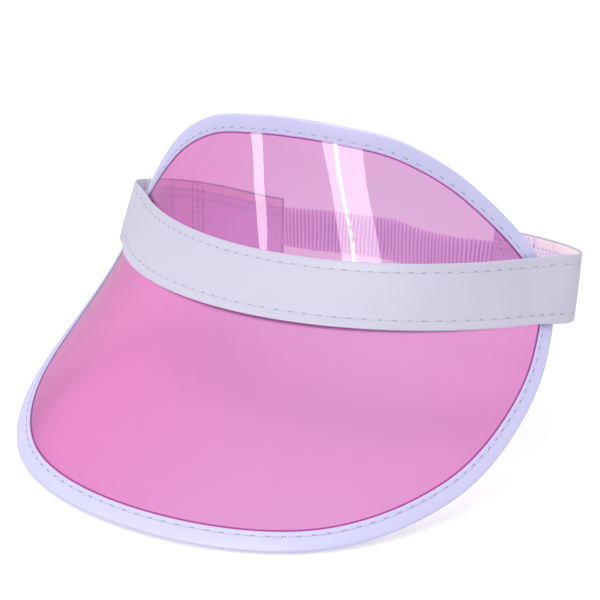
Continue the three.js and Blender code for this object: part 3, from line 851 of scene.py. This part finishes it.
inner_face, outer_face = band_face(-1.3, side=-1), band_face(0.4)
for side in ("right", "left"):
    hinge, seam, end = (PLACE[f"{side}_{part}"] for part in ("hinge", "seam", "end"))
    inwards = 1 if hinge > end else -1
    body = side + "_strap"
    ends = (hinge - inwards * 0.03, end + inwards * 0.05)
    add_strip(f"{side}_strap_vinyl", strap_section, *ends, VINYL, body, "white_vinyl", body)
    cloth = add_strip(f"{side}_strap_lining", facing_section, *ends,
                      LINING if side == "left" else SHORT_STRIP_LINING, body, "lining",
                      body + "_facing")
    low, high = sorted((ends[0] - inwards * 1, ends[1] + inwards * 2))
    zig = np.arange(low, high, OVERLOCK_PITCH / 2)
    heights = np.where(np.arange(len(zig)) % 2 == 0, *OVERLOCK_ROWS)
    corners = np.stack([zig, heights], -1)
    add_stitches(f"{side}_overlock_stitches", [(inner_face, corners[:-1], corners[1:])], 0.15,
                 body, f"{side}_overlock_thread", finish=PALE_THREAD)
    rows = [seam + k * SEAM_PITCH for k in (-1, 0, 1)]
    low_ends = np.array([(row, h) for row in rows for h in np.arange(0.06, 0.9, 0.1)])
    bars = low_ends + (0, 0.085)
    add_stitches(f"{side}_seam_stitches",
                 [(outer_face, low_ends, bars), (inner_face, low_ends, bars)], 0.16,
                 body, f"{side}_seam_thread")
    fold_ends = (hinge + inwards * 0.03, hinge - inwards * 0.03 + inwards * FOLD_LINING[side])
    turn_in = add_strip(f"{side}_fold_lining", fold_section, *fold_ends, LINING, None, "lining",
                        None, fold_shift)
    bend_at(turn_in)
    zig = np.sort(hinge + inwards * np.arange(0.6, FOLD_LINING[side] - 2, OVERLOCK_PITCH / 2))
    heights = np.where(np.arange(len(zig)) % 2 == 0, *OVERLOCK_ROWS)
    corners = np.stack([zig, heights], -1)
    overlock = add_stitches(f"{side}_fold_overlock_stitches",
                            [(band_face(-1.3, fold_shift, -1), corners[:-1], corners[1:])],
                            0.15, None, None, finish=PALE_THREAD)
    bend_at(overlock)
    legs = [(1.2, 0.84), (ANCHOR_DEPTH, 0.52), (1.2, 0.2)]
    knots = np.concatenate([np.linspace(a, b, 5)[: 5 if last else 4]
                            for a, b, last in zip(legs, legs[1:], (False, True))])
    knots = np.stack([end + inwards * knots[:, 0], knots[:, 1]], -1)
    add_stitches(f"{side}_anchor_stitches", [(inner_face, knots[:-1], knots[1:])], 0.17,
                 body, f"{side}_anchor_thread", finish=PALE_THREAD)

# %% [markdown]
# ## The gathered elastic
# A cloth tube half as long again as the rubber in it is sewn on stretched, so it gathers into
# even upright ribs when it relaxes. The ribs are shaped in the mesh, a little uneven, because
# their wavy top edge is what the eye reads as gathered cloth. A mask taken from the ribs' own
# height darkens the bottom of each furrow between them: painted shade.

# %% Make the elastic
RIB_PITCH, RIB_DEPTH, WALL = 2.0, 1.4, 0.25
elastic_ends = (PLACE["right_end"], PLACE["left_end"])
steps = int((elastic_ends[1] - elastic_ends[0]) / (RIB_PITCH / 10))
along = np.linspace(*elastic_ends, steps)[:, None]
angle = np.linspace(0, 2 * math.pi, 48, endpoint=False)
flat_up, flat_out = np.sin(angle), np.cos(angle)
tall = np.sign(flat_up) * np.abs(flat_up) ** 0.75


def elastic_wall(inset):
    """One skin of the tube: ribs across it, waves along its edges."""
    wander = 0.45 * np.sin(along / 9) + 0.3 * np.sin(along / 4.1 + 1)
    lean = 0.35 * np.sin(along / 11 + 2) * tall + 0.4 * np.sin(along / 6) * tall**2
    rib = np.sin(2 * math.pi * (along + wander + lean) / RIB_PITCH)
    pleat = np.sign(rib) * np.abs(rib) ** 0.7
    half_height = 0.355 * BAND_MM - inset + 0.22 * pleat + 0.25 * np.sin(along / 7.3)
    from_end = np.minimum(along - elastic_ends[0], elastic_ends[1] - along)
    full = 0.55 + 0.45 * smooth(from_end / 5)
    half_depth = (1.15 * full - inset) + RIB_DEPTH * 0.5 * full * pleat * (1 - np.abs(tall) ** 6)
    drop = 1.4 * np.cos(np.clip((PLACE["right_end"] + 54 - along) / 20, 0, 1) * math.pi) - 0.9
    height = 0.5 + (half_height * tall + drop) / BAND_MM
    lift = -0.5 + half_depth * np.sign(flat_out) * np.abs(flat_out) ** 0.6
    point, normal = band_face()(along + 0 * tall, height)
    # Painted shade mask: darkest at the bottom of each furrow between ribs.
    groove_shade = np.clip(-pleat, 0, 1) ** 3 + 0 * lift
    return point + normal * lift[..., None], height * BAND_MM, groove_shade


skins, marks, groove_shades = zip(*(elastic_wall(inset) for inset in (0, WALL)))
points = np.concatenate([skins[0], skins[1][::-1]])
uv = np.stack([np.broadcast_to(np.concatenate([along, along[::-1]]), points.shape[:2]),
               np.concatenate([marks[0], marks[1][::-1]])], -1)
mesh = grid_mesh("elastic_sleeve_gathered", points, uv, wrap_rows=True, wrap_columns=True)
layer = mesh.attributes.new("rib_groove_painted_shade", "FLOAT", "POINT")
groove_shade_share = np.concatenate([groove_shades[0], groove_shades[1][::-1]])
layer.data.foreach_set("value", groove_shade_share.astype(np.float32).ravel())
sleeve = new_object("elastic_sleeve_gathered", mesh, [GATHERED], None,
                    "elastic_sleeve")
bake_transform(sleeve)
rubber_section = strip_section(0.24, 0.76, -0.75, -0.25)
rubber = add_strip("elastic_rubber_strip", rubber_section, *elastic_ends, RUBBER, None, "rubber",
                   "elastic_rubber", step=2)
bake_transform(rubber)
print("ribs:", round((elastic_ends[1] - elastic_ends[0]) / RIB_PITCH))
front_line = skins[0][:, 0]
rib_steps = np.linalg.norm(np.diff(front_line, axis=0), axis=1)
print("cloth along the ribs where they are deepest, mm:", round(float(rib_steps.sum()), 1))

# %% [markdown]
# ## Floor, light and camera
# The visor rests on a plain pale floor under a white sky of soft light. Clear sheet has no
# colour of its own to show its curve: upright light panels, mirrored in the crown, do that. The
# floor glows a little, so that it stays an even white under the visor.

# %% Floor
FLOOR_Z = cad_box[0].z
bpy.ops.mesh.primitive_plane_add(size=12, location=(0, 0, FLOOR_Z - 0.0005))
floor = bpy.context.object
floor.name = "floor"
floor_paint, tree, shader = add_material("floor_paint")
shader.inputs["Base Color"].default_value = (0.6, 0.6, 0.6, 1)
shader.inputs["Roughness"].default_value = 0.9
shader.inputs["Specular IOR Level"].default_value = 0.1
shader.inputs["Emission Color"].default_value = (1, 1, 1, 1)
shader.inputs["Emission Strength"].default_value = 0.38
floor.data.materials.append(floor_paint)
floor.visible_glossy = False

# %% Camera
camera_data = bpy.data.cameras.new("camera")
camera = bpy.data.objects.new("camera", camera_data)
bpy.context.scene.collection.objects.link(camera)
RIGHT, UP, BACKWARD = (0.8874, 0.4609, 0.0118), (-0.1800, 0.3227, 0.9292), (0.4244, -0.8267, 0.3693)
CAMERA_AT = np.array([0.2408, -0.4835, 0.1936])
camera.matrix_world = Matrix.Translation(CAMERA_AT) @ Matrix(
    [[r, u, b] for r, u, b in zip(RIGHT, UP, BACKWARD)]
).to_4x4()
camera_data.lens, camera_data.sensor_width = 72.5, 36
bpy.context.scene.camera = camera

# %% Sky and panels
bpy.context.scene.view_settings.view_transform = "Standard"
world = bpy.data.worlds.new("studio")
bpy.context.scene.world = world
world.use_nodes = True
sky = world.node_tree
upwards = set_node(sky, "ShaderNodeSeparateXYZ",
                   [("Vector", set_node(sky, "ShaderNodeTexCoord").outputs["Generated"])])
rise = set_node(sky, "ShaderNodeMapRange", [("Value", upwards.outputs["Z"])])
for label, value in (("From Min", -0.1), ("From Max", 0.9), ("To Min", 0.60), ("To Max", 1.15)):
    rise.inputs[label].default_value = value
sky.links.new(rise.outputs["Result"], sky.nodes["Background"].inputs["Strength"])
sky.nodes["Background"].inputs["Color"].default_value = (1, 1, 1, 1)


def mirror_point(across, down, distance):
    """Where a lamp must stand to be seen mirrored at that place of the sheet."""
    point, normal = sheet_face(across, down)
    sight = unit(point - CAMERA_AT / MM)
    away = sight - 2 * (sight * normal).sum(-1, keepdims=True) * normal
    return point + away * distance


def add_panel(name, lefts, rights, strength, distance=1000):
    """A glowing panel seen in the crown between two lines of (across, down)."""
    downs = np.linspace(-47, 14, 14)
    sides = [mirror_point(np.interp(downs, *zip(*[(d, a) for a, d in line])), downs, distance)
             for line in (lefts, rights)]
    points = np.stack(sides, 1)
    mesh = grid_mesh(name, points, np.zeros((14, 2, 2)))
    glow = bpy.data.materials.new(name + "_glow")
    glow.use_nodes = True
    glow.node_tree.nodes.clear()
    shine = glow.node_tree.nodes.new("ShaderNodeEmission")
    shine.inputs["Strength"].default_value = strength
    end = glow.node_tree.nodes.new("ShaderNodeOutputMaterial")
    glow.node_tree.links.new(shine.outputs[0], end.inputs["Surface"])
    mesh.materials.append(glow)
    panel = bpy.data.objects.new(name, mesh)
    bpy.context.scene.collection.objects.link(panel)
    panel.visible_camera = False
    panel.visible_diffuse = False
    panel.visible_shadow = False
    panel.visible_transmission = False


add_panel("narrow_panel",
          [(-23.7, -36), (-21.6, -26.6), (-20, -15.7), (-13.8, 1.1), (-7.6, 14.5)],
          [(-17.1, -36.3), (-16, -27.1), (-14.5, -16.3), (-8.7, 0.4), (-4, 13.9)], 9)
add_panel("wide_panel",
          [(12.8, -36.5), (18.2, -20.8), (22.7, -8), (28.1, 5.5), (31.8, 12.6)],
          [(32.1, -36.1), (34.5, -23.6), (38.1, -13.5), (42.2, -3.3), (47.9, 9.9)], 8)
CORE = [(19.4, -36.2), (22.8, -21.5), (26.5, -12.2), (30.6, -3.2), (36.5, 11.6)]
add_panel("bright_panel", [(across - 0.9, down) for across, down in CORE],
          [(across + 0.9, down) for across, down in CORE], 22, 990)


def add_lamp(name, place, size, power):
    lamp = bpy.data.lights.new(name, "AREA")
    lamp.size, lamp.energy = size, power
    stand = bpy.data.objects.new(name, lamp)
    bpy.context.scene.collection.objects.link(stand)
    stand.location = place
    aim = Matrix.Translation((0, 0, 0)).to_translation() - stand.location
    stand.rotation_euler = aim.to_track_quat("-Z", "Y").to_euler()
    stand.visible_camera = False
    stand.visible_glossy = False
    stand.visible_transmission = False


add_lamp("overhead_softbox", (-0.5, -0.6, 1.3), 1.2, 8)
